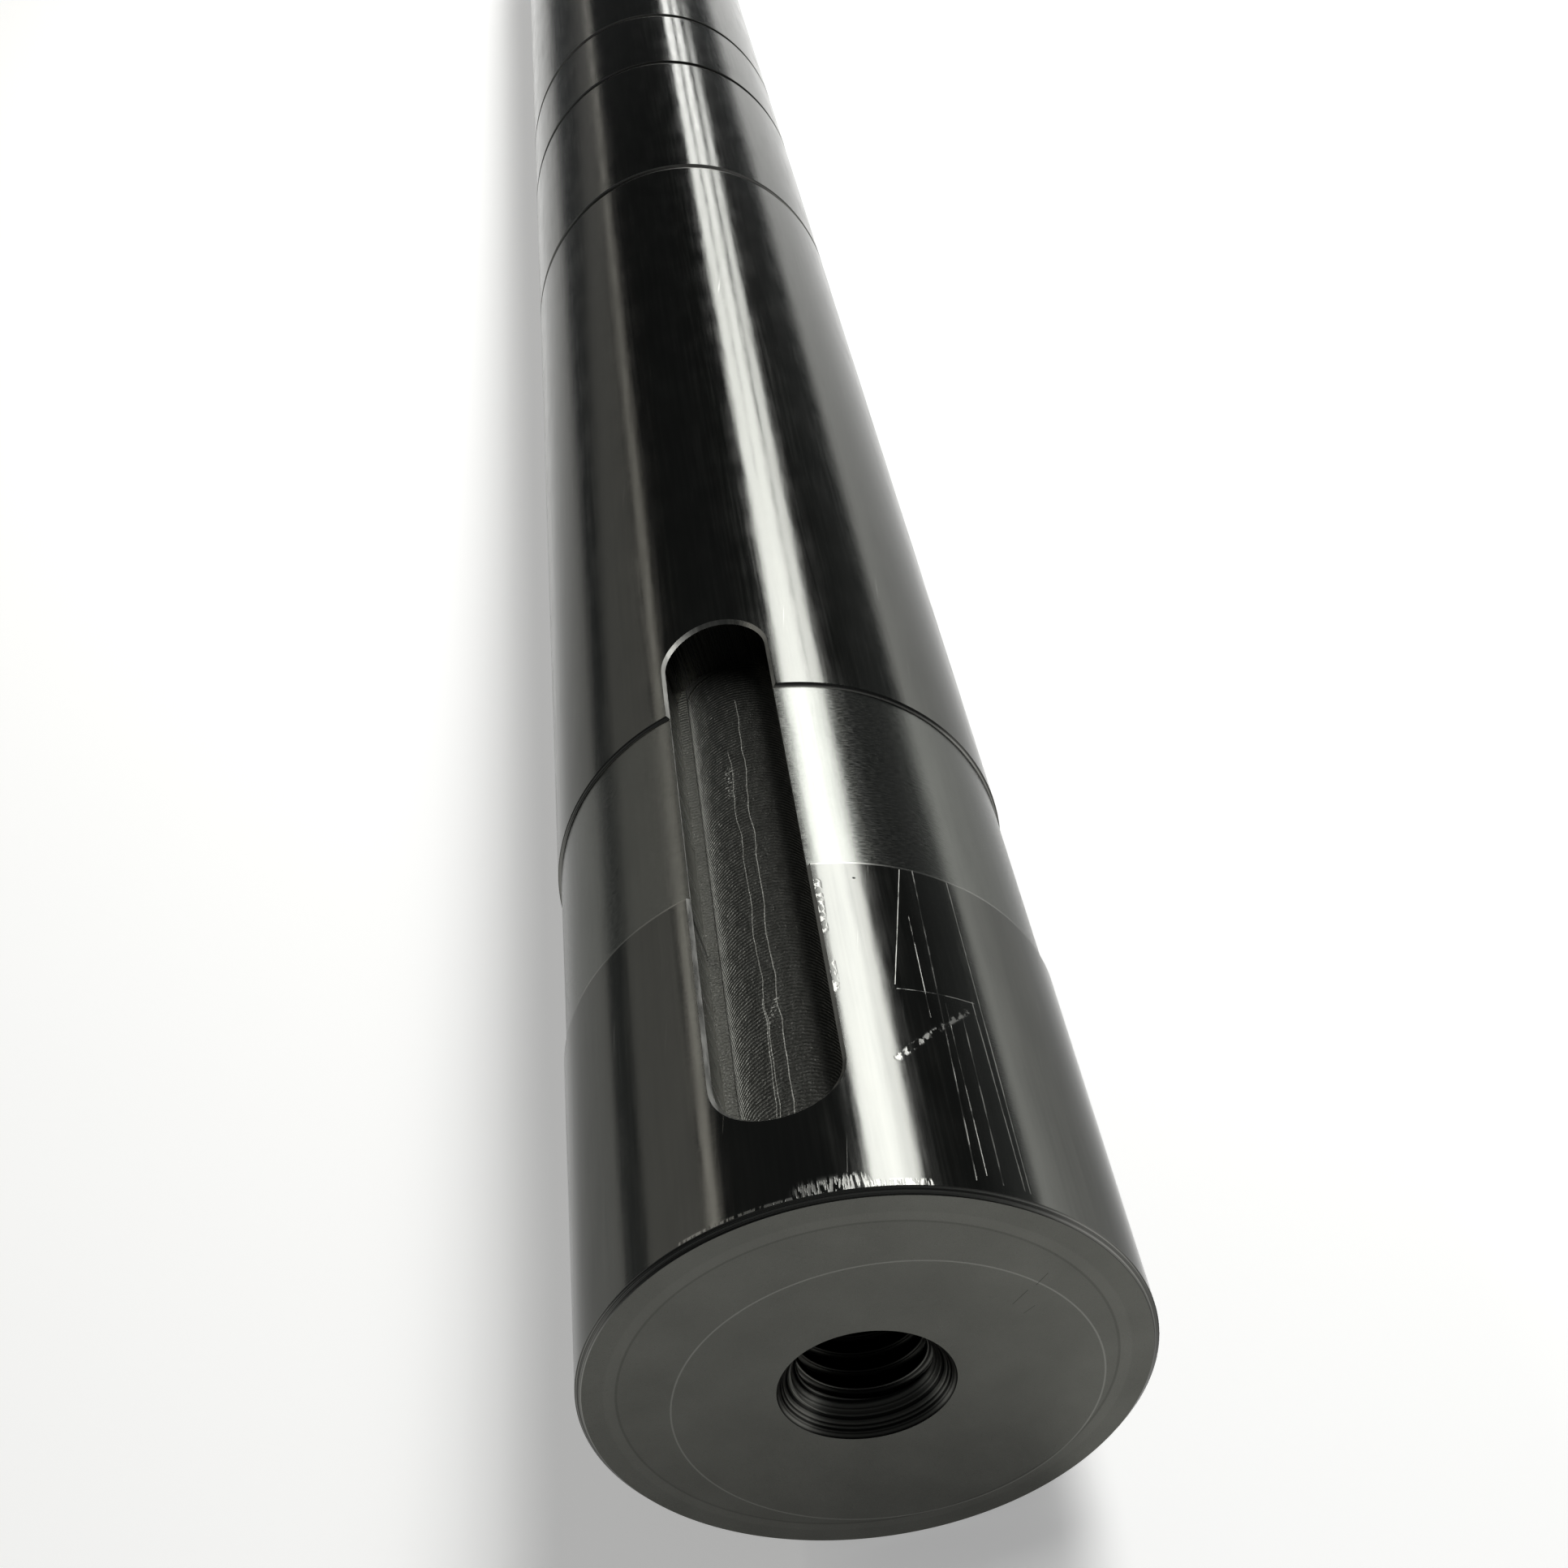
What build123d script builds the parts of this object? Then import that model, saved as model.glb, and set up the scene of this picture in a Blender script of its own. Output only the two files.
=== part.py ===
from build123d import *
import math
import os

# Stepped shaft: one turned, milled and ground bar of 45 mm steel.
# The axis runs along +Y from the drive end, whose face is at Y = 0, and the keyway faces +Z.

# Bar
SHAFT_DIAMETER = 45.0
SHAFT_LENGTH = 560.0
END_CHAMFER = 0.5

# Drive seat, then a turned relief, then the long ground land that starts at a small shoulder
DRIVE_SEAT_END = 36.5
RELIEF_END = 63.5
RELIEF_DEPTH = 0.3
SHOULDER_CHAMFER = 0.3

# Shallow grooves that part the ground length into lands
GROOVE_CENTRES = (203.5, 254.0, 281.5)
GROOVE_WIDTH = 1.8
GROOVE_DEPTH = 0.3

# Keyway with two round ends, milled in two passes
KEY_START = 8.75
KEY_LENGTH = 67.5
KEY_WIDTH = 10.0
KEY_DEPTH = 5.2
KEY_EDGE_CHAMFER = 0.35
LEDGE_WIDTH = 1.0
LEDGE_HEIGHT = 0.15

# Tapped centre hole of the drive end (M12, drawn at its core diameter)
TAPPED_BORE_DIAMETER = 10.3
TAPPED_BORE_DEPTH = 34.0
COUNTERSINK_DIAMETER = 14.0
COUNTERSINK_DEPTH = 2.75
DRILL_POINT_ANGLE = 118.0

# Plain centre hole of the far end
CENTRE_MOUTH_DIAMETER = 10.6
CENTRE_PILOT_DIAMETER = 5.0
CENTRE_PILOT_DEPTH = 12.0
CENTRE_CONE_ANGLE = 60.0

shaft_radius = SHAFT_DIAMETER / 2
relief_radius = shaft_radius - RELIEF_DEPTH


def turned(points):
    """A solid of revolution about the shaft's axis, from (radius, Y) corners."""
    profile = make_face(Polyline(*[(radius, y, 0) for radius, y in points], close=True))
    return revolve(profile, Axis.Y, 360)


def bar():
    """The ground bar with a chamfer at each end."""
    inner = shaft_radius - END_CHAMFER
    return turned([
        (0, 0),
        (inner, 0),
        (shaft_radius, END_CHAMFER),
        (shaft_radius, SHAFT_LENGTH - END_CHAMFER),
        (inner, SHAFT_LENGTH),
        (0, SHAFT_LENGTH),
    ])


def keyway_slot(width, centre_x, floor_z):
    """A milling cut that is open upwards, with round ends of the cutter's radius."""
    length = KEY_LENGTH - (KEY_WIDTH - width)
    middle_y = KEY_START + KEY_LENGTH / 2
    outline = Plane.XY.offset(floor_z) * Pos(centre_x, middle_y) * SlotOverall(length, width, rotation=90)
    return extrude(outline, shaft_radius - floor_z + 1)


def keyway():
    """The keyway: a full-width pass, then a deeper one that leaves a ledge along the -X wall."""
    floor_z = shaft_radius - KEY_DEPTH
    first_pass = keyway_slot(KEY_WIDTH, 0, floor_z + LEDGE_HEIGHT)
    second_pass = keyway_slot(KEY_WIDTH - LEDGE_WIDTH, LEDGE_WIDTH / 2, floor_z)
    return first_pass + second_pass


def keyway_rim(solid):
    """The edges where the keyway's walls meet the outside of the bar."""
    slot_top = shaft_radius - KEY_DEPTH / 2
    near_end = KEY_START - 1
    far_end = KEY_START + KEY_LENGTH + 1
    return [
        edge for edge in solid.edges()
        if edge.bounding_box().min.Z > slot_top
        and near_end < edge.bounding_box().min.Y
        and edge.bounding_box().max.Y < far_end
        and edge.bounding_box().max.X < KEY_WIDTH / 2 + 0.01
        and edge.bounding_box().min.X > -KEY_WIDTH / 2 - 0.01
    ]


def relief_ring():
    """What turning takes off between the drive seat and the shoulder."""
    outside = shaft_radius + 1
    return turned([
        (relief_radius, DRIVE_SEAT_END),
        (outside, DRIVE_SEAT_END),
        (outside, RELIEF_END + SHOULDER_CHAMFER + 1),
        (shaft_radius, RELIEF_END + SHOULDER_CHAMFER),
        (relief_radius, RELIEF_END),
    ])


def groove_ring(centre_y):
    """What a parting tool takes off at one groove."""
    half = GROOVE_WIDTH / 2
    floor_radius = shaft_radius - GROOVE_DEPTH
    outside = shaft_radius + 1
    return turned([
        (floor_radius, centre_y - half),
        (outside, centre_y - half),
        (outside, centre_y + half),
        (floor_radius, centre_y + half),
    ])


def tapped_centre():
    """The drilled and countersunk hole in the drive end."""
    bore_radius = TAPPED_BORE_DIAMETER / 2
    point_length = bore_radius / math.tan(math.radians(DRILL_POINT_ANGLE / 2))
    return turned([
        (0, 0),
        (COUNTERSINK_DIAMETER / 2, 0),
        (bore_radius, COUNTERSINK_DEPTH),
        (bore_radius, TAPPED_BORE_DEPTH),
        (0, TAPPED_BORE_DEPTH + point_length),
    ])


def plain_centre():
    """The lathe centre in the far end."""
    mouth_radius = CENTRE_MOUTH_DIAMETER / 2
    pilot_radius = CENTRE_PILOT_DIAMETER / 2
    cone_depth = (mouth_radius - pilot_radius) / math.tan(math.radians(CENTRE_CONE_ANGLE / 2))
    point_length = pilot_radius / math.tan(math.radians(DRILL_POINT_ANGLE / 2))
    return turned([
        (0, SHAFT_LENGTH),
        (mouth_radius, SHAFT_LENGTH),
        (pilot_radius, SHAFT_LENGTH - cone_depth),
        (pilot_radius, SHAFT_LENGTH - CENTRE_PILOT_DEPTH),
        (0, SHAFT_LENGTH - CENTRE_PILOT_DEPTH - point_length),
    ])


# The cuts follow the order of the shop: the relief is turned after the keyway's rim is
# broken, so the rim's chamfer is left on the seats and turned away between them.
shaft = bar() - keyway()
shaft = chamfer(keyway_rim(shaft), KEY_EDGE_CHAMFER)
shaft = shaft - relief_ring()
for centre in GROOVE_CENTRES:
    shaft = shaft - groove_ring(centre)
shaft = shaft - tapped_centre() - plain_centre()

os.makedirs("parts", exist_ok=True)
export_step(shaft.solid(), "parts/stepped_shaft.step")
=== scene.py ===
import math

import bmesh
import bpy
from mathutils import Matrix, Vector


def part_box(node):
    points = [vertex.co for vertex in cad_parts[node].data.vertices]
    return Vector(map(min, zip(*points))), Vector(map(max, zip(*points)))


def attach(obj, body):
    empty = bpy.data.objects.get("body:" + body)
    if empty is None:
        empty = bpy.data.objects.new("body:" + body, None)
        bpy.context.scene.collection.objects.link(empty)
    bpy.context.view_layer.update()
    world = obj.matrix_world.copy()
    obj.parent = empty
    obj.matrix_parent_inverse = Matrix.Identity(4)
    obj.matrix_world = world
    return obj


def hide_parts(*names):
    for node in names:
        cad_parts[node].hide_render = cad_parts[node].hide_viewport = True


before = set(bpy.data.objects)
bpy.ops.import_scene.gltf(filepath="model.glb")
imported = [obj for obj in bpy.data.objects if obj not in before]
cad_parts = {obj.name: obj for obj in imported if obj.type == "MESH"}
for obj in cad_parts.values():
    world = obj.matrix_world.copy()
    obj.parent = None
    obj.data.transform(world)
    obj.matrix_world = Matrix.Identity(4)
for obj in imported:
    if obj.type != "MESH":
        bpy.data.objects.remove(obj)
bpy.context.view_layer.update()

low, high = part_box("stepped_shaft")


# ---- Camera: a phone held over the drive end, looking down along the shaft and a little rolled.
# The shaft runs away from it and out past the top of the frame.

eye = Vector((0.01448, low.y - 0.08226, 0.11571))
turn_left, look_down, roll = math.radians(13.79), math.radians(43.31), math.radians(24.36)

camera_data = bpy.data.cameras.new("camera")
camera_data.sensor_width = 36
camera_data.lens = 41.76
camera_data.shift_x = 0.0813
camera_data.shift_y = 0.1994
camera_data.clip_start = 0.005
camera = bpy.data.objects.new("camera", camera_data)
camera.matrix_world = (
    Matrix.Translation(eye)
    @ Matrix.Rotation(turn_left, 4, "Z")
    @ Matrix.Rotation(math.pi / 2 - look_down, 4, "X")
    @ Matrix.Rotation(-roll, 4, "Z")
)
bpy.context.scene.collection.objects.link(camera)
bpy.context.scene.camera = camera
bpy.context.scene.view_settings.view_transform = "Standard"


# ---- Floor: plain matt white paper that the shaft lies on, wide enough to fill the view
# and to be what the shaft's sides mirror. What is seen of it is lifted to white; it lights nothing more.

floor_mesh = bpy.data.meshes.new("floor")
floor_mesh.from_pydata([(-4, -3, low.z), (4, -3, low.z), (4, 6, low.z), (-4, 6, low.z)], [], [(0, 1, 2, 3)])
floor = bpy.data.objects.new("floor", floor_mesh)
bpy.context.scene.collection.objects.link(floor)
paper = bpy.data.materials.new("white_paper")
paper.use_nodes = True
paper_shader = paper.node_tree.nodes["Principled BSDF"]
paper_shader.inputs["Base Color"].default_value = (0.86, 0.86, 0.85, 1)
paper_shader.inputs["Roughness"].default_value = 0.9
paper_shader.inputs["Specular IOR Level"].default_value = 0.2
paper_shader.inputs["Emission Strength"].default_value = 0.34
rays = paper.node_tree.nodes.new("ShaderNodeLightPath")
seen_by = rays.outputs["Is Camera Ray"]
for other in ("Is Glossy Ray", "Is Transmission Ray"):
    either = paper.node_tree.nodes.new("ShaderNodeMath")
    either.operation = "MAXIMUM"
    paper.node_tree.links.new(seen_by, either.inputs[0])
    paper.node_tree.links.new(rays.outputs[other], either.inputs[1])
    seen_by = either.outputs[0]
paper.node_tree.links.new(seen_by, paper_shader.inputs["Emission Color"])
floor_mesh.materials.append(paper)


# ---- Light: long ceiling tubes parallel to the shaft in a dim room whose walls are paler than its
# ceiling. Three tubes side by side on the right make the white streak, and a warmer dimmer tube and
# panel on the left the faint one.

tube_height = 0.5
tube_length = 3.4
near_y, far_y = low.y + 0.53, low.y + 2.56
tubes = [
    # name, x where near_y is, x where far_y is, width, brightness, colour
    ("tube_inner", 0.262, 0.431, 0.080, 9.0, (1.0, 1.0, 0.99)),
    ("tube_middle", 0.334, 0.549, 0.080, 9.5, (1.0, 1.0, 0.99)),
    ("tube_outer", 0.420, 0.690, 0.090, 7.5, (1.0, 1.0, 0.99)),
    ("warm_tube", -0.445, -0.430, 0.070, 1.7, (1.0, 0.96, 0.88)),
    ("warm_panel", -1.260, -1.240, 1.480, 0.42, (1.0, 0.97, 0.91)),
]
for name, near_x, far_x, width, brightness, colour in tubes:
    lamp = bpy.data.lights.new(name, "AREA")
    lamp.shape = "RECTANGLE"
    lamp.size = width
    lamp.size_y = tube_length
    lamp.color = colour
    lamp.energy = brightness * math.pi * width * tube_length
    tube = bpy.data.objects.new(name, lamp)
    tube.location = ((near_x + far_x) / 2, (near_y + far_y) / 2 + 0.2, tube_height)
    tube.rotation_euler = (0, 0, -math.atan2(far_x - near_x, far_y - near_y))
    bpy.context.scene.collection.objects.link(tube)

room = bpy.data.worlds.new("room")
room.use_nodes = True
upward = room.node_tree.nodes.new("ShaderNodeTexCoord")
height_of_ray = room.node_tree.nodes.new("ShaderNodeSeparateXYZ")
walls = room.node_tree.nodes.new("ShaderNodeMapRange")
walls.inputs["From Max"].default_value = 0.3
walls.inputs["To Min"].default_value = 0.20
walls.inputs["To Max"].default_value = 0.055
room.node_tree.links.new(upward.outputs["Generated"], height_of_ray.inputs[0])
room.node_tree.links.new(height_of_ray.outputs["Z"], walls.inputs[0])
room.node_tree.links.new(walls.outputs[0], room.node_tree.nodes["Background"].inputs["Strength"])
room.node_tree.nodes["Background"].inputs["Color"].default_value = (0.96, 1.0, 1.0, 1)
bpy.context.scene.world = room


# ---- Shaft: one bar of steel, turned, drilled and tapped at its drive end, milled for a key in two
# passes and ground on its lands. It is spun from its profile, and the keyway and the thread are cut with
# the shape of the tool that cuts them. Lengths here are in millimetres until the mesh is scaled.

radius = (high.x - low.x) / 2 * 1000
length = (high.y - low.y) * 1000
end_chamfer = 0.5
seat_end = 36.5
relief_end = 63.5
relief_depth = 0.3
groove_centres = (203.5, 254.0, 281.5)
groove_width = 1.8
groove_depth = 0.3
key_start = 8.75
key_length = 67.5
key_width = 10.0
key_floor = 17.3
ledge_width = 1.0
ledge_height = 0.15
key_edge = 0.35
bore_radius = 5.15
bore_depth = 34.0
cone_radius = 7.0
cone_depth = 2.75
drill_point = math.radians(118)
thread_pitch = 1.75
thread_depth = 0.85
tap_bar = 0.733  # from the middle of the tap's three-sided bar to its corners
centre_radius = 5.3
pilot_radius = 2.5
pilot_depth = 12.0
centre_cone = math.radians(60)
groove_edge = 0.1
hair_gap = 0.0025  # keeps the second pass clear of the first one's wall
spin_steps = 256


def turned(name, profile, steps):
    """A solid spun about the shaft's axis from (radius, along) points in millimetres, from axis to axis."""
    solid = bmesh.new()
    rings = []
    for ring_radius, along in profile:
        if ring_radius == 0:
            rings.append([solid.verts.new((0, along, 0))] * steps)
            continue
        angles = [math.tau * step / steps for step in range(steps)]
        around = [(ring_radius * math.sin(a), along, ring_radius * math.cos(a)) for a in angles]
        rings.append([solid.verts.new(point) for point in around])
    for near, far in zip(rings, rings[1:]):
        for step in range(steps):
            after = (step + 1) % steps
            corners = [near[step], near[after], far[after], far[step]]
            corners = [v for place, v in enumerate(corners) if v not in corners[:place]]
            solid.faces.new(corners)
    bmesh.ops.recalc_face_normals(solid, faces=solid.faces)
    return finished(name, solid)


def finished(name, solid):
    """Puts a bmesh solid in the scene as an object."""
    mesh = bpy.data.meshes.new(name)
    solid.to_mesh(mesh)
    solid.free()
    piece = bpy.data.objects.new(name, mesh)
    bpy.context.scene.collection.objects.link(piece)
    return piece


near_centre = key_start + key_width / 2
far_centre = key_start + key_length - key_width / 2


def slot_outline(half_width, middle):
    """The round-ended outline that an end mill of that half width leaves, in millimetres."""
    steps = 40
    turns = [(math.cos(math.pi * s / steps), math.sin(math.pi * s / steps)) for s in range(steps + 1)]
    far_end = [(middle + half_width * c, far_centre + half_width * s) for c, s in turns]
    near_end = [(middle - half_width * c, near_centre - half_width * s) for c, s in turns]
    return far_end + near_end


def stacked(name, rings):
    """A closed solid lofted through outlines that have the same number of points, lowest first."""
    solid = bmesh.new()
    loops = [[solid.verts.new(point) for point in ring] for ring in rings]
    for lower, upper in zip(loops, loops[1:]):
        for place in range(len(lower)):
            after = (place + 1) % len(lower)
            solid.faces.new((lower[place], lower[after], upper[after]))
            solid.faces.new((lower[place], upper[after], upper[place]))
    solid.faces.new(loops[0])
    solid.faces.new(loops[-1])
    bmesh.ops.recalc_face_normals(solid, faces=solid.faces)
    return finished(name, solid)


def skin(x):
    """Height of the bar's surface over its axis at that x."""
    return math.sqrt(radius * radius - x * x)


profile = [
    (0, bore_depth + bore_radius / math.tan(drill_point / 2)),
    (bore_radius, bore_depth),
    (bore_radius, cone_depth),
    (cone_radius, 0),
    (radius - end_chamfer, 0),
    (radius, end_chamfer),
    (radius, seat_end),
    (radius - relief_depth, seat_end),
    (radius - relief_depth, relief_end),
    (radius, relief_end + relief_depth),
]
for centre in groove_centres:
    profile += [
        (radius, centre - groove_width / 2),
        (radius - groove_depth, centre - groove_width / 2 + groove_edge),
        (radius - groove_depth, centre + groove_width / 2 - groove_edge),
        (radius, centre + groove_width / 2),
    ]
profile += [
    (radius, length - end_chamfer),
    (radius - end_chamfer, length),
    (centre_radius, length),
    (pilot_radius, length - (centre_radius - pilot_radius) / math.tan(centre_cone / 2)),
    (pilot_radius, length - pilot_depth),
    (0, length - pilot_depth - pilot_radius / math.tan(drill_point / 2)),
]
shaft = turned("shaft", profile, spin_steps)

full_pass = slot_outline(key_width / 2, 0)
flared = slot_outline(key_width / 2 + 2 * key_edge, 0)
key_cutter = stacked(
    "key_cutter",
    [
        [(x, y, key_floor + ledge_height) for x, y in full_pass],
        [(x, y, skin(x) - key_edge) for x, y in full_pass],
        [(x, y, skin(x) + key_edge) for x, y in flared],
        [(x, y, radius + 2) for x, y in flared],
    ],
)
deep_half = (key_width - ledge_width) / 2
deep_pass = slot_outline(deep_half - hair_gap, ledge_width / 2 - hair_gap)
deep_cutter = stacked(
    "deep_cutter",
    [[(x, y, key_floor) for x, y in deep_pass], [(x, y, key_floor + 1.5) for x, y in deep_pass]],
)

# The tap: a three-sided bar wound into a right-hand helix, so its outer corner is the thread's root.
tap_tree = bpy.data.node_groups.new("tap", "GeometryNodeTree")
tap_tree.interface.new_socket("Geometry", in_out="OUTPUT", socket_type="NodeSocketGeometry")
tap_sizes = {
    "Pitch": thread_pitch,
    "Turns": (bore_depth - 1.3) / thread_pitch,
    "Bar": tap_bar,
    "Middle": bore_radius + thread_depth + 0.05 - tap_bar,
    "Start": 0.3,
    "First angle": math.radians(-15.4),
}
for name in tap_sizes:
    tap_tree.interface.new_socket(name, in_out="INPUT", socket_type="NodeSocketFloat")
tap_in = tap_tree.nodes.new("NodeGroupInput")
tap_out = tap_tree.nodes.new("NodeGroupOutput")


def step(kind, first, second):
    """One Math node in the tap's tree; its inputs are numbers or other nodes' outputs."""
    maths = tap_tree.nodes.new("ShaderNodeMath")
    maths.operation = kind
    for socket, value in zip(maths.inputs, (first, second)):
        if isinstance(value, bpy.types.NodeSocket):
            tap_tree.links.new(value, socket)
        elif value is not None:
            socket.default_value = value
    return maths.outputs[0]


bar = tap_tree.nodes.new("GeometryNodeMeshCylinder")
bar.inputs["Vertices"].default_value = 3
bar.inputs["Side Segments"].default_value = 900
bar.inputs["Depth"].default_value = 1
tap_tree.links.new(tap_in.outputs["Bar"], bar.inputs["Radius"])
place = tap_tree.nodes.new("GeometryNodeInputPosition")
parts = tap_tree.nodes.new("ShaderNodeSeparateXYZ")
tap_tree.links.new(place.outputs[0], parts.inputs[0])
turns_in = step("MULTIPLY", step("ADD", parts.outputs["Z"], 0.5), tap_in.outputs["Turns"])
angle = step("ADD", step("MULTIPLY", turns_in, math.tau), tap_in.outputs["First angle"])
reach = step("ADD", parts.outputs["X"], tap_in.outputs["Middle"])
advance = step("MULTIPLY", turns_in, tap_in.outputs["Pitch"])
along = step("ADD", advance, step("ADD", parts.outputs["Y"], tap_in.outputs["Start"]))
wound = tap_tree.nodes.new("ShaderNodeCombineXYZ")
tap_tree.links.new(step("MULTIPLY", reach, step("SINE", angle, None)), wound.inputs["X"])
tap_tree.links.new(along, wound.inputs["Y"])
tap_tree.links.new(step("MULTIPLY", reach, step("COSINE", angle, None)), wound.inputs["Z"])
wind = tap_tree.nodes.new("GeometryNodeSetPosition")
tap_tree.links.new(bar.outputs["Mesh"], wind.inputs["Geometry"])
tap_tree.links.new(wound.outputs[0], wind.inputs["Position"])
outward = tap_tree.nodes.new("GeometryNodeFlipFaces")
tap_tree.links.new(wind.outputs["Geometry"], outward.inputs["Mesh"])
whole = tap_tree.nodes.new("GeometryNodeRealizeInstances")
tap_tree.links.new(outward.outputs[0], whole.inputs[0])
finish_cut = tap_tree.nodes.new("GeometryNodeSetMaterial")
finish_cut.inputs["Material"].default_value = bpy.data.materials.new("tapped_bore")
tap_tree.links.new(whole.outputs[0], finish_cut.inputs[0])
tap_tree.links.new(finish_cut.outputs[0], tap_out.inputs[0])
tap = bpy.data.objects.new("tap", bpy.data.meshes.new("tap"))
bpy.context.scene.collection.objects.link(tap)
winding = tap.modifiers.new("winding", "NODES")
winding.node_group = tap_tree
for item in tap_tree.interface.items_tree:
    if item.in_out == "INPUT":
        winding[item.identifier] = tap_sizes[item.name]
bpy.context.view_layer.update()
wound_bar = tap.evaluated_get(bpy.context.evaluated_depsgraph_get())
tap_mesh = bpy.data.meshes.new_from_object(wound_bar)
tap.modifiers.remove(winding)
tap.data = tap_mesh

for tool in (key_cutter, deep_cutter, tap):
    cut = shaft.modifiers.new("cut", "BOOLEAN")
    cut.operation = "DIFFERENCE"
    cut.solver = "EXACT"
    cut.object = tool
    bpy.context.view_layer.update()
    cut_shaft = shaft.evaluated_get(bpy.context.evaluated_depsgraph_get())
    after_cut = bpy.data.meshes.new_from_object(cut_shaft)
    shaft.modifiers.remove(cut)
    shaft.data = after_cut
    bpy.data.objects.remove(tool)

# Which finish each face has, from where it lies and which way it looks.
finishes = ["seat", "land", "relief", "turned", "faced", "key_wall", "key_floor", "key_rim", "bore"]
shaft_mesh = shaft.data


def finish_of(centre, normal):
    """The finish of the face with that middle and normal, in millimetres."""
    from_axis = math.hypot(centre.x, centre.z)
    if centre.y < 0.01 or centre.y > length - 0.01:
        return "faced"
    if from_axis < 8:
        return "bore"
    past_slot = 0.8
    beside_key = abs(centre.x) < key_width / 2 + past_slot and centre.z > key_floor - 0.1
    if beside_key and key_start - past_slot < centre.y < key_start + key_length + past_slot:
        if normal.z > 0.99 and from_axis < radius - 1.5:
            return "key_floor"
        if abs(normal.z) < 0.05 and from_axis < radius:
            if abs(normal.y) < 0.99 or centre.y < near_centre or centre.y > far_centre:
                return "key_wall"
        sideways = abs(normal.x) > 0.45 or centre.y < near_centre or centre.y > far_centre
        if 0.05 < normal.z < 0.95 and sideways:
            return "key_rim"
    if abs(normal.y) > 0.3:
        return "turned"
    if from_axis < radius - 0.1 and centre.y > relief_end:
        return "turned"
    if seat_end < centre.y < relief_end:
        return "relief"
    return "seat" if centre.y < seat_end else "land"


def turned_by(vector, angle):
    """The vector turned about the shaft's axis."""
    c, s = math.cos(angle), math.sin(angle)
    return (vector.x * c + vector.z * s, vector.y, vector.z * c - vector.x * s)


corner_normals = [None] * len(shaft_mesh.loops)
face_finish = []
for face in shaft_mesh.polygons:
    centre, normal = face.center.copy(), face.normal.copy()
    finish = finish_of(centre, normal)
    face_finish.append(finishes.index(finish))
    spun = finish in ("seat", "land", "relief", "turned", "bore") and abs(normal.y) < 0.98
    sign = 1 if normal.x * centre.x + normal.z * centre.z > 0 else -1
    middle = math.atan2(sign * normal.x, sign * normal.z)
    if finish == "bore":
        middle = math.atan2(centre.x, centre.z)
    for corner in face.loop_indices:
        spot = shaft_mesh.vertices[shaft_mesh.loops[corner].vertex_index].co
        if spun:
            swing = (math.atan2(spot.x, spot.z) - middle + math.pi) % math.tau - math.pi
            corner_normals[corner] = turned_by(normal, swing)
        elif finish == "key_wall" and (centre.y < near_centre or centre.y > far_centre):
            middle_x = 0 if centre.z > key_floor + ledge_height else ledge_width / 2
            hub = near_centre if centre.y < near_centre else far_centre
            inward = Vector((middle_x - spot.x, hub - spot.y, 0))
            corner_normals[corner] = inward.normalized()[:]
        else:
            corner_normals[corner] = normal[:]
shaft_mesh.transform(Matrix.Translation((0, low.y, 0)) @ Matrix.Scale(0.001, 4))
shaft_mesh.polygons.foreach_set("use_smooth", [True] * len(shaft_mesh.polygons))
shaft_mesh.normals_split_custom_set(corner_normals)


def put(tree, kind, values=(), **settings):
    """Adds a node. values gives its inputs by name: numbers, vectors or other nodes' outputs."""
    node = tree.nodes.new(kind)
    for name, value in settings.items():
        setattr(node, name, value)
    for name, value in dict(values).items():
        if isinstance(value, bpy.types.NodeSocket):
            tree.links.new(value, node.inputs[name])
        else:
            node.inputs[name].default_value = value
    return node


def calc(tree, kind, first, second=0.0, third=0.0):
    """A Math node's result."""
    return put(tree, "ShaderNodeMath", {0: first, 1: second, 2: third}, operation=kind).outputs[0]


def vectors(tree, kind, first, second):
    """A Vector Math node's result: a number for a distance or a dot product."""
    node = put(tree, "ShaderNodeVectorMath", {0: first, 1: second}, operation=kind)
    return node.outputs["Value" if kind in ("DISTANCE", "DOT_PRODUCT") else "Vector"]


def noise(tree, place, across, along, detail=3.0):
    """Noise over (round, along) millimetres, with that many cells per millimetre each way."""
    stretched = vectors(tree, "MULTIPLY", place, (across, along, 1))
    inputs = {"Vector": stretched, "Scale": 1.0, "Detail": detail}
    return put(tree, "ShaderNodeTexNoise", inputs).outputs["Fac"]


def line_at(tree, value, middle, outer, inner):
    """1 where the value is within inner of the middle, and 0 beyond outer."""
    away = calc(tree, "ABSOLUTE", calc(tree, "SUBTRACT", value, middle))
    return ramp(tree, away, outer, inner)


def ramp(tree, value, start, stop, low_value=0.0, high_value=1.0):
    """The value carried from start..stop to low_value..high_value, with eased ends."""
    inputs = {0: value, 1: start, 2: stop, 3: low_value, 4: high_value}
    return put(tree, "ShaderNodeMapRange", inputs, interpolation_type="SMOOTHSTEP").outputs[0]


def group(name, inputs, outputs):
    """An empty node group with those sockets, and its input and output nodes."""
    tree = bpy.data.node_groups.new(name, "ShaderNodeTree")
    for socket, kind in inputs:
        tree.interface.new_socket(socket, in_out="INPUT", socket_type="NodeSocket" + kind)
    for socket, kind in outputs:
        tree.interface.new_socket(socket, in_out="OUTPUT", socket_type="NodeSocket" + kind)
    return tree, tree.nodes.new("NodeGroupInput"), tree.nodes.new("NodeGroupOutput")


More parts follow.
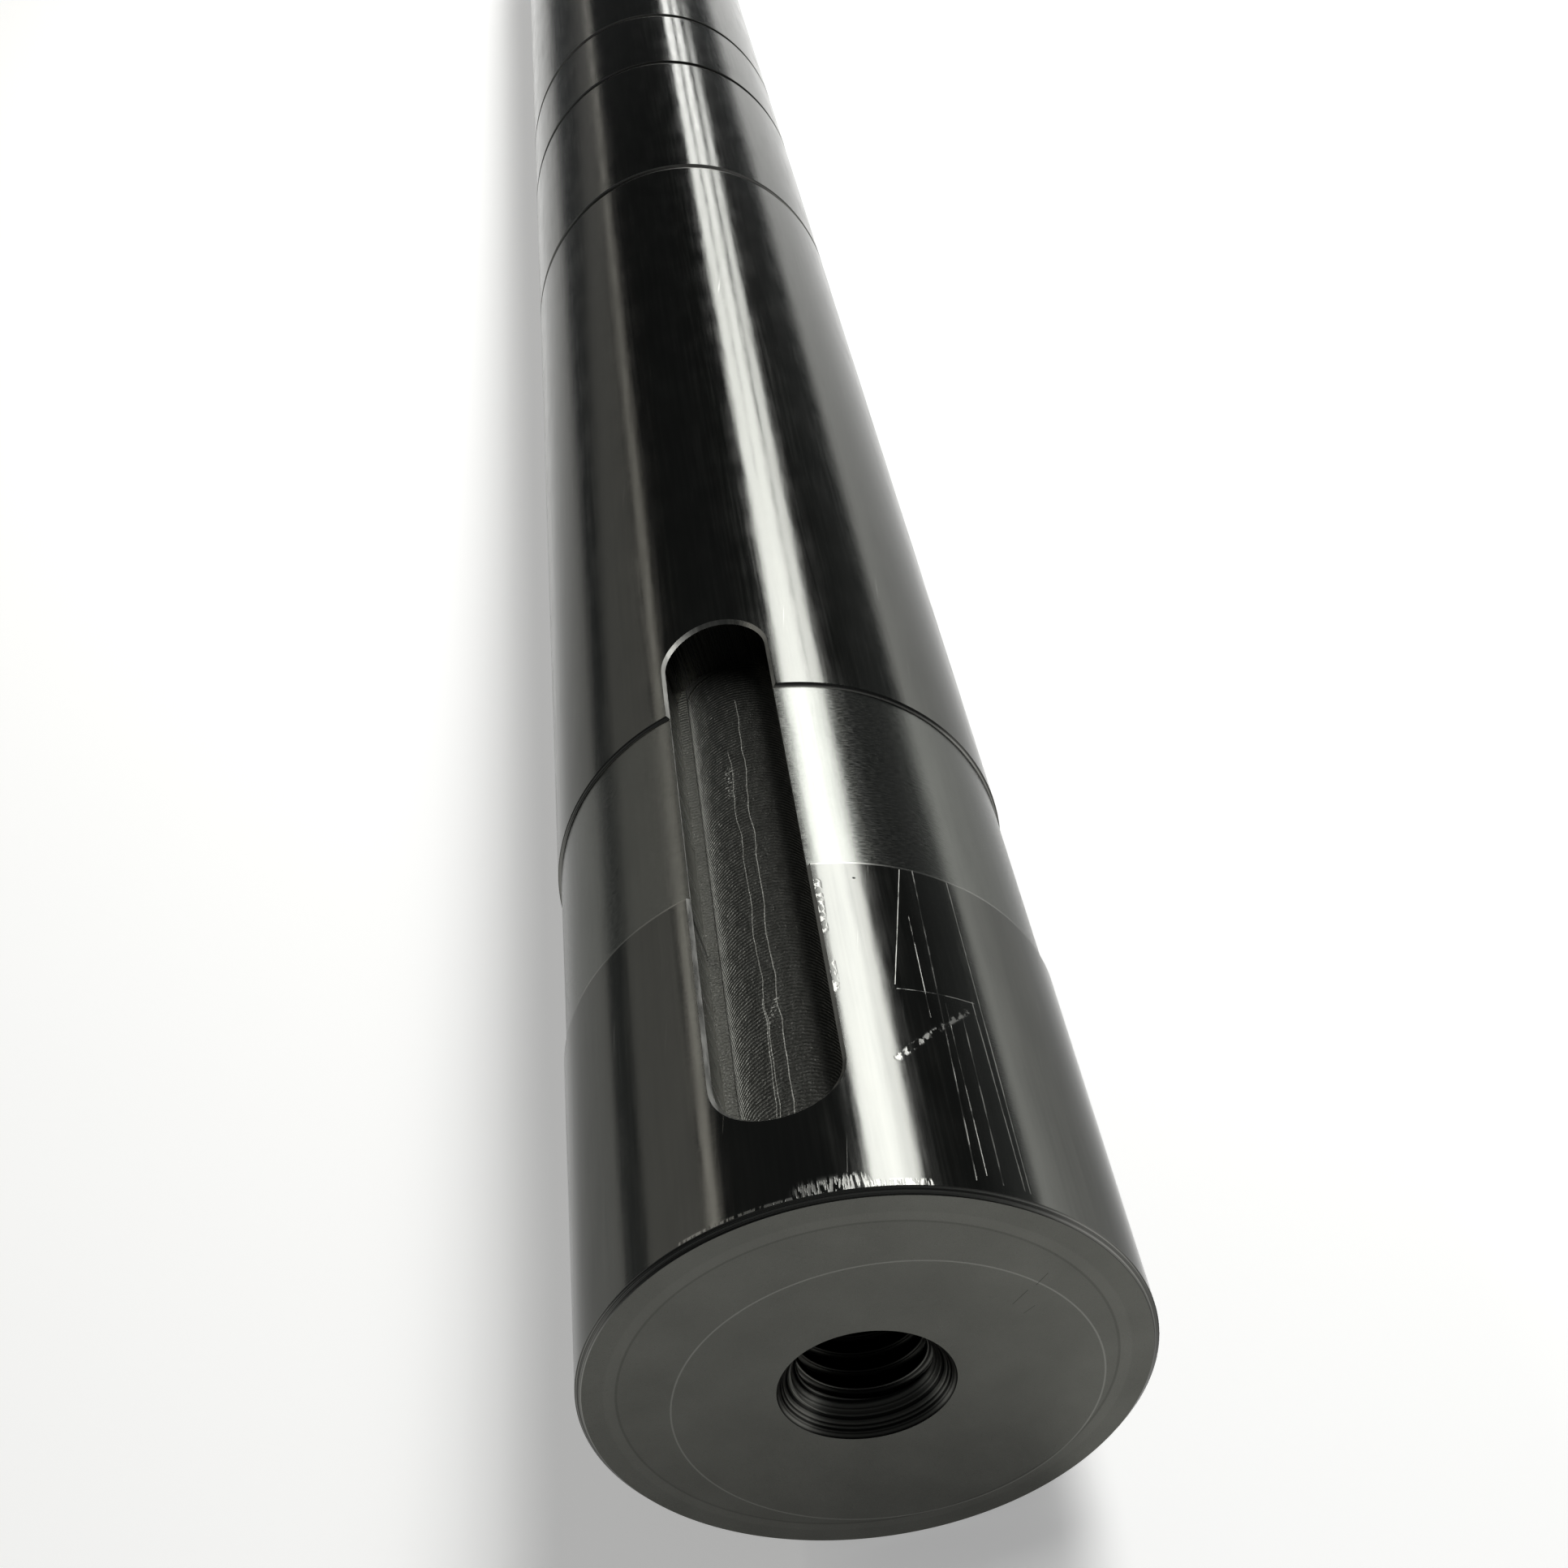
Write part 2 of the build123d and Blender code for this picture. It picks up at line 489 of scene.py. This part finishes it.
# Where a point is, in millimetres: round the skin from the keyway and along it, or seen from above or
# from the end.
where, _, where_out = group(
    "where", [], [("Skin", "Vector"), ("Flat", "Vector"), ("Face", "Vector"), ("Radius", "Float")]
)
spot = put(where, "ShaderNodeSeparateXYZ", {0: put(where, "ShaderNodeTexCoord").outputs["Object"]}).outputs
x_mm = calc(where, "MULTIPLY", spot[0], 1000)
y_mm = calc(where, "MULTIPLY", calc(where, "SUBTRACT", spot[1], low.y), 1000)
z_mm = calc(where, "MULTIPLY", spot[2], 1000)
round_mm = calc(where, "MULTIPLY", calc(where, "ARCTAN2", spot[0], spot[2]), radius)
for socket, (first, second) in (("Skin", (round_mm, y_mm)), ("Flat", (x_mm, y_mm)), ("Face", (x_mm, z_mm))):
    joined = put(where, "ShaderNodeCombineXYZ", {0: first, 1: second})
    where.links.new(joined.outputs[0], where_out.inputs[socket])
z_squared = calc(where, "MULTIPLY", z_mm, z_mm)
across_axis = calc(where, "SQRT", calc(where, "MULTIPLY_ADD", x_mm, x_mm, z_squared))
where.links.new(across_axis, where_out.inputs["Radius"])

# One straight scratch between two spots: 1 on its line, 0 beyond its width.
scratch, scratch_in, scratch_out = group(
    "scratch",
    [("Place", "Vector"), ("Start", "Vector"), ("End", "Vector"), ("Width", "Float")],
    [("Mask", "Float")],
)
scratch_width = scratch_in.outputs["Width"]
from_start = vectors(scratch, "SUBTRACT", scratch_in.outputs["Place"], scratch_in.outputs["Start"])
whole_line = vectors(scratch, "SUBTRACT", scratch_in.outputs["End"], scratch_in.outputs["Start"])
parts_of_line = {
    0: vectors(scratch, "DOT_PRODUCT", from_start, whole_line),
    1: vectors(scratch, "DOT_PRODUCT", whole_line, whole_line),
}
share = put(scratch, "ShaderNodeMath", parts_of_line, operation="DIVIDE", use_clamp=True)
nearest = put(scratch, "ShaderNodeVectorMath", {0: whole_line, "Scale": share.outputs[0]}, operation="SCALE")
gap = vectors(scratch, "DISTANCE", from_start, nearest.outputs[0])
in_line = ramp(scratch, gap, scratch_width, calc(scratch, "MULTIPLY", scratch_width, 0.35))
scratch.links.new(in_line, scratch_out.inputs["Mask"])

# What grinding leaves: fine lines round the bar, slow waviness, and faint hairlines from handling.
grinding, grinding_in, grinding_out = group(
    "grinding", [("Place", "Vector")], [("Height", "Float"), ("Tone", "Float"), ("Hairlines", "Float")]
)
ground_place = grinding_in.outputs["Place"]
lines = noise(grinding, ground_place, 0.12, 9.0, 4.0)
waves = noise(grinding, ground_place, 0.55, 0.10, 2.0)
grinding.links.new(calc(grinding, "MULTIPLY_ADD", waves, 2.2, lines), grinding_out.inputs["Height"])
cloud = noise(grinding, ground_place, 0.35, 0.12, 5.0)
streaks = noise(grinding, ground_place, 2.6, 0.05, 4.0)
half_cloud = calc(grinding, "MULTIPLY", cloud, 0.5)
ground_tone = calc(grinding, "MULTIPLY_ADD", streaks, 0.5, half_cloud)
grinding.links.new(ground_tone, grinding_out.inputs["Tone"])
tilt = {"Vector": ground_place, "Angle": 0.12}
leaning = put(grinding, "ShaderNodeVectorRotate", tilt, rotation_type="Z_AXIS").outputs[0]
hairs = ramp(grinding, noise(grinding, leaning, 5.0, 0.06, 2.0), 0.66, 0.74)
in_places = ramp(grinding, noise(grinding, leaning, 0.4, 0.05, 1.0), 0.5, 0.7)
hair = calc(grinding, "MULTIPLY", hairs, in_places)
grinding.links.new(hair, grinding_out.inputs["Hairlines"])


def use(tree, shared, values=()):
    """A shared node group in a material."""
    node = tree.nodes.new("ShaderNodeGroup")
    node.node_tree = shared
    for name, value in dict(values).items():
        if isinstance(value, bpy.types.NodeSocket):
            tree.links.new(value, node.inputs[name])
        else:
            node.inputs[name].default_value = value
    return node


def blend(tree, mask, first, second):
    """Colour or value mixed by a mask: first where it is 0, second where it is 1."""
    colours = isinstance(first, tuple) or isinstance(second, tuple)
    mix = tree.nodes.new("ShaderNodeMix")
    mix.data_type = "RGBA" if colours else "FLOAT"
    sockets = [s for s in mix.inputs if s.enabled]
    for socket, value in zip(sockets, (mask, first, second)):
        if isinstance(value, bpy.types.NodeSocket):
            tree.links.new(value, socket)
        else:
            socket.default_value = value
    return [s for s in mix.outputs if s.enabled][0]


def steel(material, colour, roughness, height, distance):
    """Finishes a steel: gives its shader these colour, roughness and bump sockets."""
    tree = material.node_tree
    shader = tree.nodes["Principled BSDF"]
    shader.inputs["Metallic"].default_value = 1.0
    shader.inputs["Specular Tint"].default_value = (0.5, 0.5, 0.5, 1)
    tree.links.new(colour, shader.inputs["Base Color"])
    tree.links.new(roughness, shader.inputs["Roughness"])
    bump = put(tree, "ShaderNodeBump", {"Strength": 1.0, "Distance": distance, "Height": height})
    tree.links.new(bump.outputs[0], shader.inputs["Normal"])


def new_steel(name):
    """A material with a Principled shader, its node tree, and its place group."""
    material = bpy.data.materials.get(name) or bpy.data.materials.new(name)
    material.use_nodes = True
    tree = material.node_tree
    return material, tree, use(tree, where).outputs


def marks(tree, place, lines):
    """The most of several scratches, each (x1, y1, x2, y2, width) in millimetres."""
    most = None
    for x1, y1, x2, y2, width in lines:
        inputs = {"Place": place, "Start": (x1, y1, 0), "End": (x2, y2, 0), "Width": width}
        one = use(tree, scratch, inputs).outputs[0]
        most = one if most is None else calc(tree, "MAXIMUM", most, one)
    return most


# Ground seat at the drive end: near mirror, with the scratches that hubs and a tool left on its right, and a
# painted highlight along its edge at the relief.
seat, tree, spots = new_steel("ground_seat")
ground = use(tree, grinding, {"Place": spots["Skin"]}).outputs
scored = marks(
    tree,
    spots["Skin"],
    [
        (17.3, 1.3, 17.35, 36.2, 0.06),
        (13.0, 1.4, 14.1, 36.4, 0.065),
        (10.2, 21.4, 12.9, 36.2, 0.05),
        (10.3, 20.9, 16.8, 20.9, 0.06),
        (12.5, 18.0, 12.7, 30.0, 0.05),
        (15.1, 1.4, 15.35, 19.0, 0.06),
        (16.85, 1.4, 16.65, 21.0, 0.06),
        (13.9, 2.0, 14.1, 20.0, 0.04),
    ],
)
fading = ramp(tree, noise(tree, spots["Skin"], 0.9, 0.28, 3.0), 0.35, 0.6, 0.35, 1.0)
scored = calc(tree, "MULTIPLY", scored, fading)
broken = noise(tree, spots["Skin"], 1.9, 1.2, 5.0)
jagged = ramp(tree, noise(tree, spots["Skin"], 4.5, 0.7, 4.0), 0.45, 0.54)
rubs = [(9.2, 13.2, 15.9, 19.6, 0.42), (5.45, 28.0, 5.6, 34.0, 0.5), (5.5, 21.0, 5.5, 24.0, 0.5)]
scuffs = marks(tree, spots["Skin"], rubs)
scuffs = calc(tree, "MULTIPLY", scuffs, ramp(tree, broken, 0.47, 0.56))
drags = [(0.8, 0.9, 4.4, 0.9, 1.3), (4.4, 0.7, 9.5, 0.7, 0.5), (-9.0, 0.6, 0.8, 0.6, 0.25)]
dragged = marks(tree, spots["Skin"], drags)
scuffs = calc(tree, "MAXIMUM", scuffs, calc(tree, "MULTIPLY", dragged, jagged))
seat_along = put(tree, "ShaderNodeSeparateXYZ", {0: spots["Skin"]}).outputs[1]
# Painted highlight: a paler, rougher band on the seat's last fraction of a millimetre stands in for the
# glint of its rounded edge; its bump dip is the edge's roll.
edge_glint = calc(tree, "MULTIPLY", ramp(tree, seat_along, seat_end - 0.28, seat_end - 0.12), 0.55)
# These pale marks mix the real scratches and scuffs with the painted edge highlight.
pale_marks = calc(tree, "MAXIMUM", calc(tree, "MAXIMUM", scored, scuffs), edge_glint)
pale_marks = calc(tree, "MAXIMUM", pale_marks, calc(tree, "MULTIPLY", ground["Hairlines"], 0.35))
pit = ramp(tree, marks(tree, spots["Skin"], [(8.75, 34.4, 8.8, 34.4, 0.16)]), 0.3, 0.6)
tone = blend(tree, ground["Tone"], (0.078, 0.080, 0.076, 1), (0.128, 0.129, 0.120, 1))
tone = blend(tree, calc(tree, "MULTIPLY", pale_marks, 0.75), tone, (0.36, 0.36, 0.34, 1))
tone = blend(tree, pit, tone, (0.01, 0.01, 0.01, 1))
rough = ramp(tree, ground["Tone"], 0.3, 0.7, 0.07, 0.15)
rough = blend(tree, pale_marks, rough, 0.34)
height = calc(tree, "SUBTRACT", ground["Height"], calc(tree, "MULTIPLY", pale_marks, 1.5))
steel(seat, tone, rough, height, 0.000004)

# Ground land behind the shoulder: the same grinding, cleaner.
land, tree, spots = new_steel("ground_land")
ground = use(tree, grinding, {"Place": spots["Skin"]}).outputs
pale_marks = calc(tree, "MULTIPLY", ground["Hairlines"], 0.3)
tone = blend(tree, ground["Tone"], (0.078, 0.080, 0.076, 1), (0.130, 0.131, 0.122, 1))
tone = blend(tree, pale_marks, tone, (0.42, 0.42, 0.40, 1))
rough = ramp(tree, ground["Tone"], 0.3, 0.7, 0.08, 0.17)
steel(land, tone, rough, ground["Height"], 0.000004)

# Turned relief: emery-finished, so satin, with fine lines round it.
relief, tree, spots = new_steel("satin_relief")
ground = use(tree, grinding, {"Place": spots["Skin"]}).outputs
grain = noise(tree, spots["Skin"], 1.6, 7.0, 5.0)
mottle = calc(tree, "MULTIPLY_ADD", grain, 0.5, calc(tree, "MULTIPLY", ground["Tone"], 0.5))
tone = blend(tree, mottle, (0.080, 0.083, 0.078, 1), (0.185, 0.189, 0.176, 1))
rough = ramp(tree, grain, 0.3, 0.7, 0.13, 0.22)
steel(relief, tone, rough, calc(tree, "ADD", ground["Height"], grain), 0.000004)

# Turned grooves, shoulders and chamfers: the tool's fine rings.
cut_steel, tree, spots = new_steel("turned_edges")
rings = noise(tree, spots["Skin"], 0.02, 7.0, 2.0)
tone = blend(tree, ramp(tree, rings, 0.35, 0.65), (0.05, 0.05, 0.047, 1), (0.26, 0.26, 0.245, 1))
steel(cut_steel, tone, ramp(tree, rings, 0.3, 0.7, 0.20, 0.36), rings, 0.00002)

# Faced end: satin, with a witness ring near the rim, a thin off-centre ring inside it and a few nicks.
faced, tree, spots = new_steel("faced_end")
grain = noise(tree, spots["Face"], 9.0, 9.0, 5.0)
cloud = noise(tree, spots["Face"], 0.16, 0.16, 4.0)
witness = line_at(tree, spots["Radius"], 19.8, 0.62, 0.42)
rim_line = line_at(tree, spots["Radius"], 19.35, 0.14, 0.05)
off_centre = vectors(tree, "DISTANCE", spots["Face"], (1.1, -2.4, 0))
thin_ring = line_at(tree, off_centre, 16.9, 0.10, 0.03)
small_nicks = [(12.4, 6.0, 13.7, 7.2, 0.05), (14.4, 7.6, 15.4, 8.6, 0.05), (13.0, 4.6, 13.9, 5.2, 0.04)]
nicks = marks(tree, spots["Face"], small_nicks)
mottle = calc(tree, "MULTIPLY_ADD", grain, 0.45, calc(tree, "MULTIPLY", cloud, 0.55))
tone = blend(tree, mottle, (0.070, 0.071, 0.064, 1), (0.150, 0.151, 0.137, 1))
tone = blend(tree, calc(tree, "MULTIPLY", witness, 0.16), tone, (0.17, 0.17, 0.155, 1))
tone = blend(tree, calc(tree, "MULTIPLY", rim_line, 0.30), tone, (0.02, 0.02, 0.018, 1))
light_lines = calc(tree, "MULTIPLY", thin_ring, 0.4)
tone = blend(tree, light_lines, tone, (0.30, 0.30, 0.28, 1))
tone = blend(tree, calc(tree, "MULTIPLY", nicks, 0.6), tone, (0.02, 0.02, 0.018, 1))
rough = ramp(tree, grain, 0.3, 0.7, 0.26, 0.40)
steel(faced, tone, rough, calc(tree, "SUBTRACT", grain, light_lines), 0.00001)

# Milled walls of the keyway: dark, with fine lines along the cut and one dark spot.
key_wall, tree, spots = new_steel("milled_wall")
lines = noise(tree, spots["Flat"], 8.0, 0.9, 3.0)
tone = blend(tree, lines, (0.05, 0.05, 0.045, 1), (0.24, 0.24, 0.22, 1))
# A near-black spot on the left wall near the seat's end.
wall_dark_spot = marks(tree, spots["Flat"], [(-5.0, 33.2, -5.0, 34.4, 0.7)])
ragged = ramp(tree, noise(tree, spots["Flat"], 2.5, 2.5, 3.0), 0.4, 0.5)
tone = blend(tree, calc(tree, "MULTIPLY", wall_dark_spot, ragged), tone, (0.01, 0.01, 0.01, 1))
steel(key_wall, tone, ramp(tree, lines, 0.3, 0.7, 0.22, 0.38), lines, 0.00002)

# Milled floor of the keyway: arcs that the end mill's edge left, long wandering scratches and specks.
key_floor_steel, tree, spots = new_steel("milled_floor")
flat = put(tree, "ShaderNodeSeparateXYZ", {0: spots["Flat"]}).outputs
side = calc(tree, "SUBTRACT", flat[0], ledge_width / 2)
off_arc = calc(tree, "SUBTRACT", deep_half * deep_half, calc(tree, "MULTIPLY", side, side))
arc_height = calc(tree, "SQRT", calc(tree, "MAXIMUM", off_arc, 0.01))
unevenness = calc(tree, "MULTIPLY", noise(tree, spots["Flat"], 0.8, 0.8, 2.0), 0.5)
sweep = calc(tree, "ADD", calc(tree, "SUBTRACT", flat[1], arc_height), unevenness)
arc_spacing = 0.43
arcs = calc(tree, "SINE", calc(tree, "MULTIPLY", sweep, math.tau / arc_spacing))
grain = noise(tree, spots["Flat"], 6.0, 6.0, 4.0)
drift = calc(tree, "MULTIPLY", noise(tree, spots["Flat"], 0.0, 0.16, 2.0), 0.9)
sideways = put(tree, "ShaderNodeCombineXYZ", {0: drift}).outputs[0]
wander = vectors(tree, "SUBTRACT", spots["Flat"], sideways)
scored = marks(
    tree,
    wander,
    [
        (-0.15, 10.6, -0.1, 38.0, 0.05),
        (-0.1, 38.0, 0.3, 70.0, 0.045),
        (-1.25, 11.0, -1.15, 62.0, 0.035),
        (-1.6, 10.2, -1.3, 27.0, 0.035),
    ],
)
speckled = marks(tree, spots["Flat"], [(-1.0, 55.0, -0.9, 59.0, 0.6), (-0.6, 24.0, 0.2, 26.5, 0.35)])
specks = calc(tree, "MULTIPLY", speckled, ramp(tree, noise(tree, spots["Flat"], 4.5, 4.5, 3.0), 0.54, 0.6))
plunge = vectors(tree, "DISTANCE", spots["Flat"], (0.4, 11.4, 0))
crescent = calc(tree, "MULTIPLY", line_at(tree, plunge, 1.9, 0.14, 0.05), ramp(tree, flat[1], 11.8, 12.4))
crescent = calc(tree, "MULTIPLY", crescent, ramp(tree, grain, 0.4, 0.5))
light_lines = calc(tree, "MAXIMUM", calc(tree, "MAXIMUM", scored, specks), crescent)
cloud = noise(tree, spots["Flat"], 1.3, 0.5, 4.0)
mottle = calc(tree, "MULTIPLY_ADD", grain, 0.5, calc(tree, "MULTIPLY", cloud, 0.5))
mottle = calc(tree, "MULTIPLY_ADD", arcs, 0.10, mottle)
tone = blend(tree, mottle, (0.020, 0.020, 0.018, 1), (0.155, 0.156, 0.142, 1))
ledge_edge = ledge_width - key_width / 2
ledge = ramp(tree, flat[0], ledge_edge + 0.05, ledge_edge - 0.05)
torn = calc(tree, "MULTIPLY", ledge, calc(tree, "MULTIPLY_ADD", grain, 1.2, -0.2))
tone = blend(tree, torn, tone, (0.34, 0.34, 0.31, 1))
tone = blend(tree, light_lines, tone, (0.38, 0.38, 0.35, 1))
rough = blend(tree, light_lines, ramp(tree, grain, 0.3, 0.7, 0.30, 0.42), 0.5)
height = calc(tree, "MULTIPLY_ADD", arcs, 0.35, calc(tree, "MULTIPLY_ADD", cloud, 1.5, grain))
steel(key_floor_steel, tone, rough, height, 0.00003)

# Broken edge of the keyway: painted lighter than the steel beside it, a painted glint of the chamfer.
key_rim, tree, spots = new_steel("broken_edge")
lines = noise(tree, spots["Flat"], 2.0, 0.3, 3.0)
# Painted highlight: the pale tone stands in for the chamfer's glint.
tone = blend(tree, lines, (0.16, 0.16, 0.15, 1), (0.34, 0.34, 0.32, 1))
steel(key_rim, tone, ramp(tree, lines, 0.3, 0.7, 0.26, 0.40), lines, 0.000003)

# Tapped hole and its cone: dark and oily, painted darker deeper in as shade, with the drill's coarse rings
# on the cone.
bore, tree, spots = new_steel("tapped_bore")
outwards = put(tree, "ShaderNodeCombineXYZ", {0: spots["Radius"]}).outputs[0]
rings = noise(tree, outwards, 5.5, 0.0, 1.0)
along_bore = put(tree, "ShaderNodeSeparateXYZ", {0: spots["Flat"]}).outputs[1]
# Painted shade: the bore's colour darkens from 2.4 to 6 mm in, where shade falls in the hole.
deep = ramp(tree, along_bore, 2.4, 6.0)
tone = blend(tree, ramp(tree, rings, 0.4, 0.62), (0.015, 0.015, 0.014, 1), (0.15, 0.15, 0.138, 1))
tone = blend(tree, deep, tone, (0.028, 0.028, 0.025, 1))
steel(bore, tone, ramp(tree, rings, 0.3, 0.7, 0.24, 0.38), rings, 0.00004)

shaft_mesh.materials.clear()
for material in (seat, land, relief, cut_steel, faced, key_wall, key_floor_steel, key_rim, bore):
    shaft_mesh.materials.append(material)
shaft_mesh.polygons.foreach_set("material_index", face_finish)
shaft_mesh.update()
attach(shaft, "root")
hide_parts("stepped_shaft")
